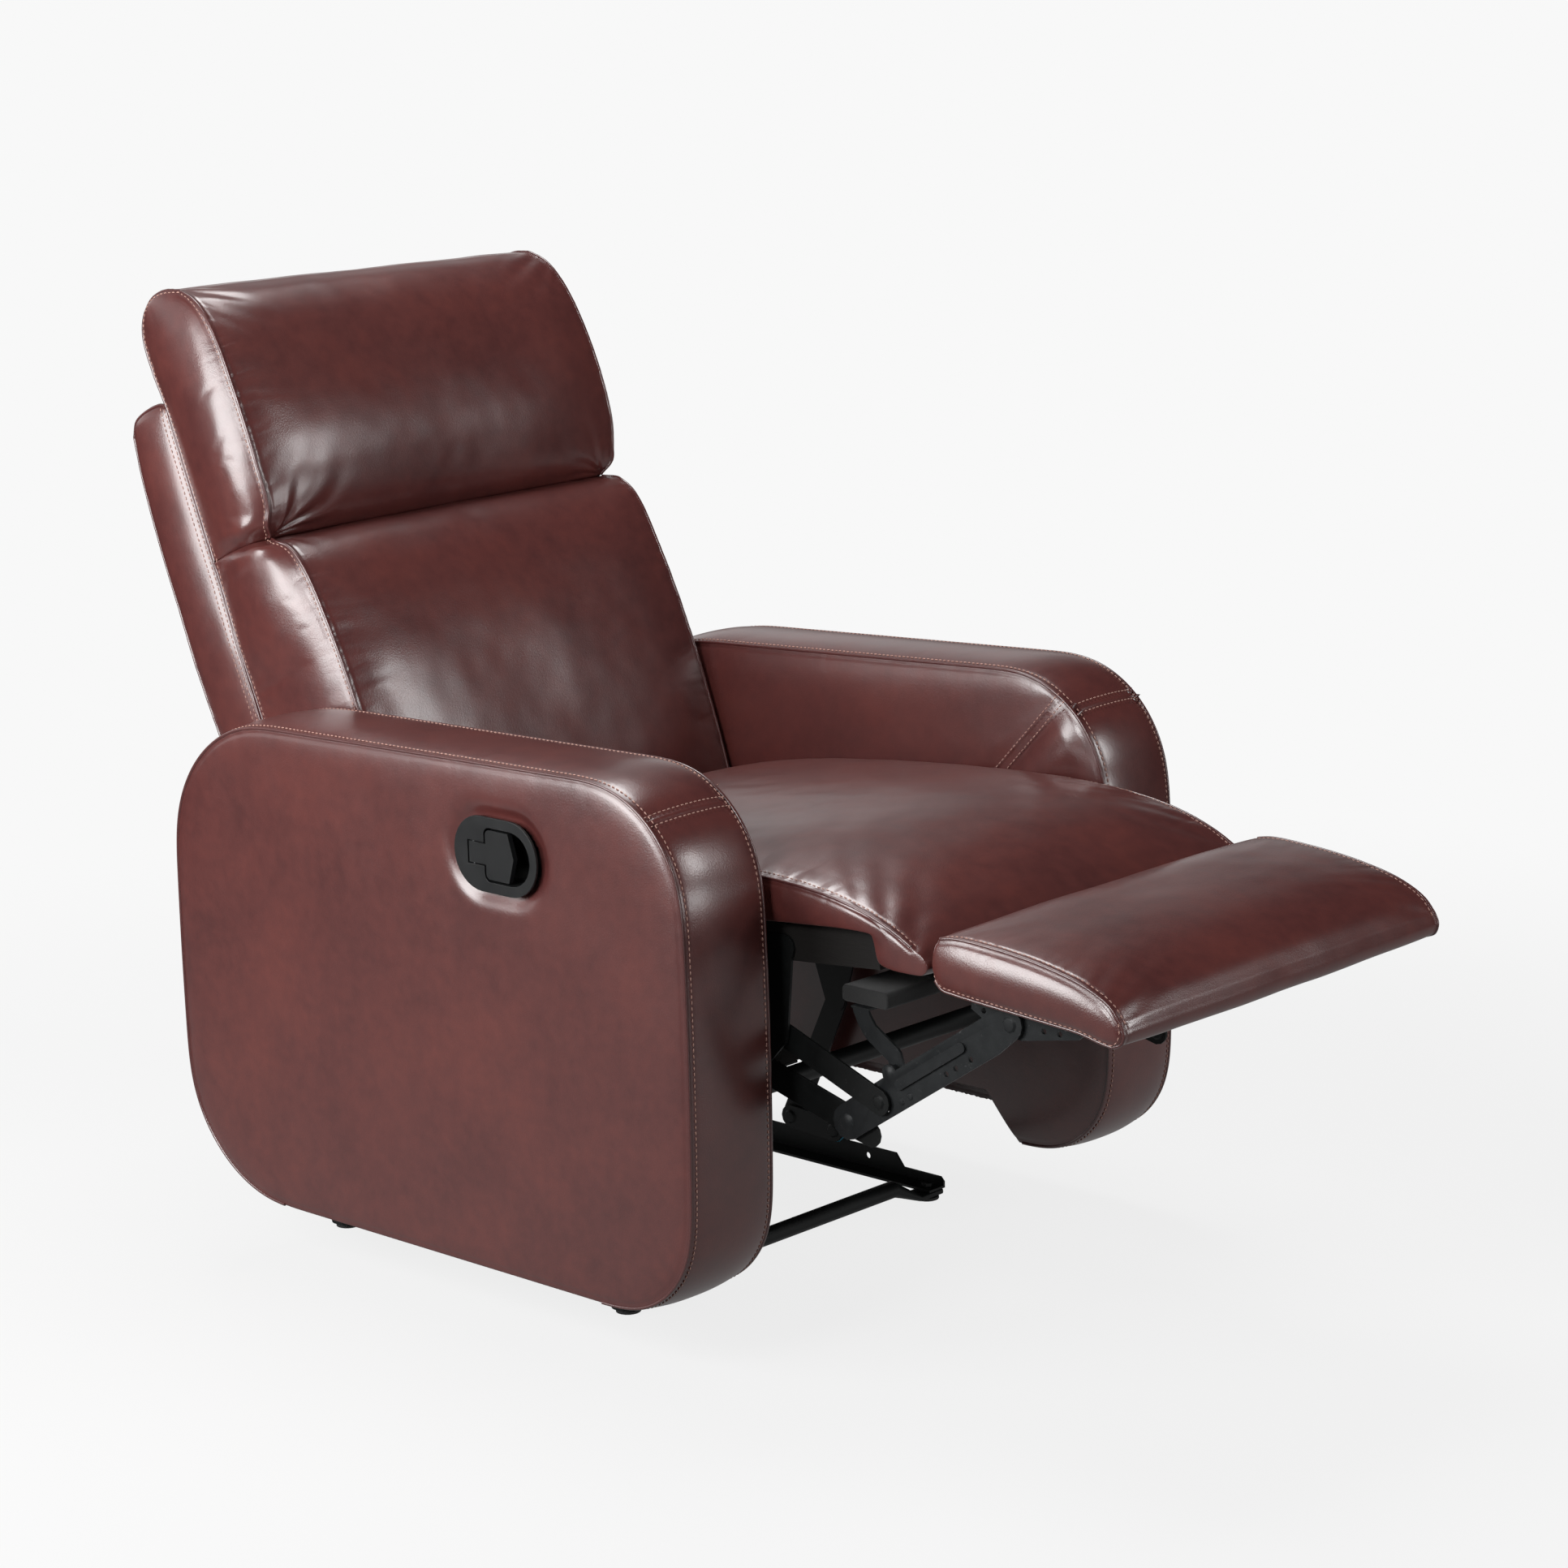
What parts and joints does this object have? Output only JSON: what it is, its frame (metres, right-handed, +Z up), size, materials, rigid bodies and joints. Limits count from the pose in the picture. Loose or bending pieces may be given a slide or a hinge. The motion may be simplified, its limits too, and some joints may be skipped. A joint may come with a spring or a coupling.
{
  "type": "recliner armchair",
  "caption": "Upholstered recliner armchair with rounded arms, split back cushion, fold-out footrest on a steel linkage, and a recessed release paddle in one arm.",
  "frame": {"origin": "on the floor, under the middle of the chair with its footrest out", "axes": "+Z up, +X to the sitter's left, -Y towards the footrest, so the sitter faces -Y"},
  "size_m": [0.8033, 1.4452, 1.0692],
  "materials": {
    "leather": "semi-gloss, fine grain",
    "wood": "plain plywood",
    "dark_wood": "black stained",
    "latch_plastic": "satin",
    "spring_steel": "bare",
    "black_steel": "satin black",
    "grey_steel": "grey, slightly worn",
    "blue_nylon": "smooth nylon",
    "glide_rubber": "matte",
    "black_cloth": "non-woven, matte",
    "webbing": "woven"
  },
  "bodies": {
    "root": {"arm_outer_panel_right": "leather", "arm_outer_panel_left": "leather", "arm_border_right": "leather", "arm_border_left": "leather", "arm_inner_panel_right": "leather", "arm_inner_panel_left": "leather", "arm_frame_right": "dark_wood", "arm_frame_left": "dark_wood", "base_rail_right": "black_steel", "base_rail_left": "black_steel", "base_tie_right": "black_steel", "base_tie_left": "black_steel", "tie_washer_right": "blue_nylon", "tie_washer_left": "blue_nylon", "front_glide_right": "glide_rubber", "front_glide_left": "glide_rubber", "rear_glide_right": "glide_rubber", "rear_glide_left": "glide_rubber", "latch_housing": "latch_plastic", "latch_pin": "spring_steel", "latch_spring": "spring_steel", "front_cross_tube": "black_steel", "rear_cross_tube": "black_steel"},
    "front_swing": {"front_swing_link_right": "black_steel", "front_swing_link_left": "black_steel"},
    "rear_swing": {"rear_swing_link_right": "black_steel", "rear_swing_link_left": "black_steel"},
    "seat": {"seat_side_rail_right": "dark_wood", "seat_side_rail_left": "dark_wood", "side_plate_right": "black_steel", "side_plate_left": "black_steel", "seat_front_rail": "dark_wood", "seat_rear_rail": "dark_wood", "seat_springs": "spring_steel", "seat_dust_cloth": "black_cloth", "seat_cushion": "leather", "torque_tube": "black_steel"},
    "lower_links": {"lower_link_right": "black_steel", "lower_link_left": "black_steel", "knee_washer_right": "blue_nylon", "knee_washer_left": "blue_nylon"},
    "second_links": {"second_link_right": "black_steel", "second_link_left": "black_steel"},
    "channel_links": {"channel_link_right": "grey_steel", "channel_link_left": "grey_steel"},
    "flipper": {"flipper_bracket_right": "grey_steel", "flipper_bracket_left": "grey_steel", "flipper_board": "black_cloth"},
    "footrest": {"footrest_bracket_right": "grey_steel", "footrest_bracket_left": "grey_steel", "footrest_pad": "leather", "footrest_board": "wood"},
    "back": {"back_bracket_right": "black_steel", "back_bracket_left": "black_steel", "headrest_cushion": "leather", "lumbar_cushion": "leather", "back_shell": "leather", "back_frame": "wood", "back_webbing": "webbing"},
    "latch_paddle": {"latch_paddle": "latch_plastic"}
  },
  "joints": [
    {"name": "footrest_fold", "type": "hinge", "parent": "seat", "child": "lower_links", "pos_m": [0, -0.20298, 0.315], "axis": [1, 0, 0], "range_deg": [0, 68]},
    {"name": "second_link_pivot", "type": "hinge", "parent": "seat", "child": "second_links", "pos_m": [0, -0.25398, 0.359], "axis": [1, 0, 0], "range_deg": [0, 68]},
    {"name": "channel_pivot", "type": "hinge", "parent": "lower_links", "child": "channel_links", "pos_m": [0, -0.34098, 0.277], "axis": [1, 0, 0], "range_deg": [-81, 0]},
    {"name": "footrest_pivot", "type": "hinge", "parent": "channel_links", "child": "footrest", "pos_m": [0, -0.56198, 0.421], "axis": [1, 0, 0], "range_deg": [0, 99]},
    {"name": "flipper_pivot", "type": "hinge", "parent": "channel_links", "child": "flipper", "pos_m": [0, -0.40098, 0.34], "axis": [1, 0, 0], "range_deg": [0, 60]},
    {"name": "front_swing_pivot", "type": "hinge", "parent": "root", "child": "front_swing", "pos_m": [0, 0.20202, 0.056], "axis": [1, 0, 0], "range_deg": [-51, 0]},
    {"name": "rear_swing_pivot", "type": "hinge", "parent": "root", "child": "rear_swing", "pos_m": [0, 0.41302, 0.056], "axis": [1, 0, 0], "range_deg": [-49.5, 0]},
    {"name": "seat_pivot", "type": "hinge", "parent": "front_swing", "child": "seat", "pos_m": [0, 0.12502, 0.217], "axis": [1, 0, 0], "range_deg": [0, 54]},
    {"name": "back_recline", "type": "hinge", "parent": "seat", "child": "back", "pos_m": [0, 0.28902, 0.413], "axis": [-1, 0, 0], "range_deg": [-8, 30]},
    {"name": "latch", "type": "hinge", "parent": "root", "child": "latch_paddle", "pos_m": [-0.3995, 0.03002, 0.539], "axis": [0, 0, -1], "range_deg": [0, 28], "stiffness_Nm_per_rad": 0.08, "springref_deg": -20.05}
  ],
  "couplings": [
    {"joint": "second_link_pivot", "follows": "footrest_fold", "ratio": 1},
    {"joint": "channel_pivot", "follows": "footrest_fold", "ratio": -1.1912},
    {"joint": "footrest_pivot", "follows": "footrest_fold", "ratio": 1.4559},
    {"joint": "flipper_pivot", "follows": "footrest_fold", "ratio": 0.88235},
    {"joint": "front_swing_pivot", "follows": "footrest_fold", "ratio": -0.75},
    {"joint": "rear_swing_pivot", "follows": "footrest_fold", "ratio": -0.72794},
    {"joint": "seat_pivot", "follows": "footrest_fold", "ratio": 0.79412}
  ]
}
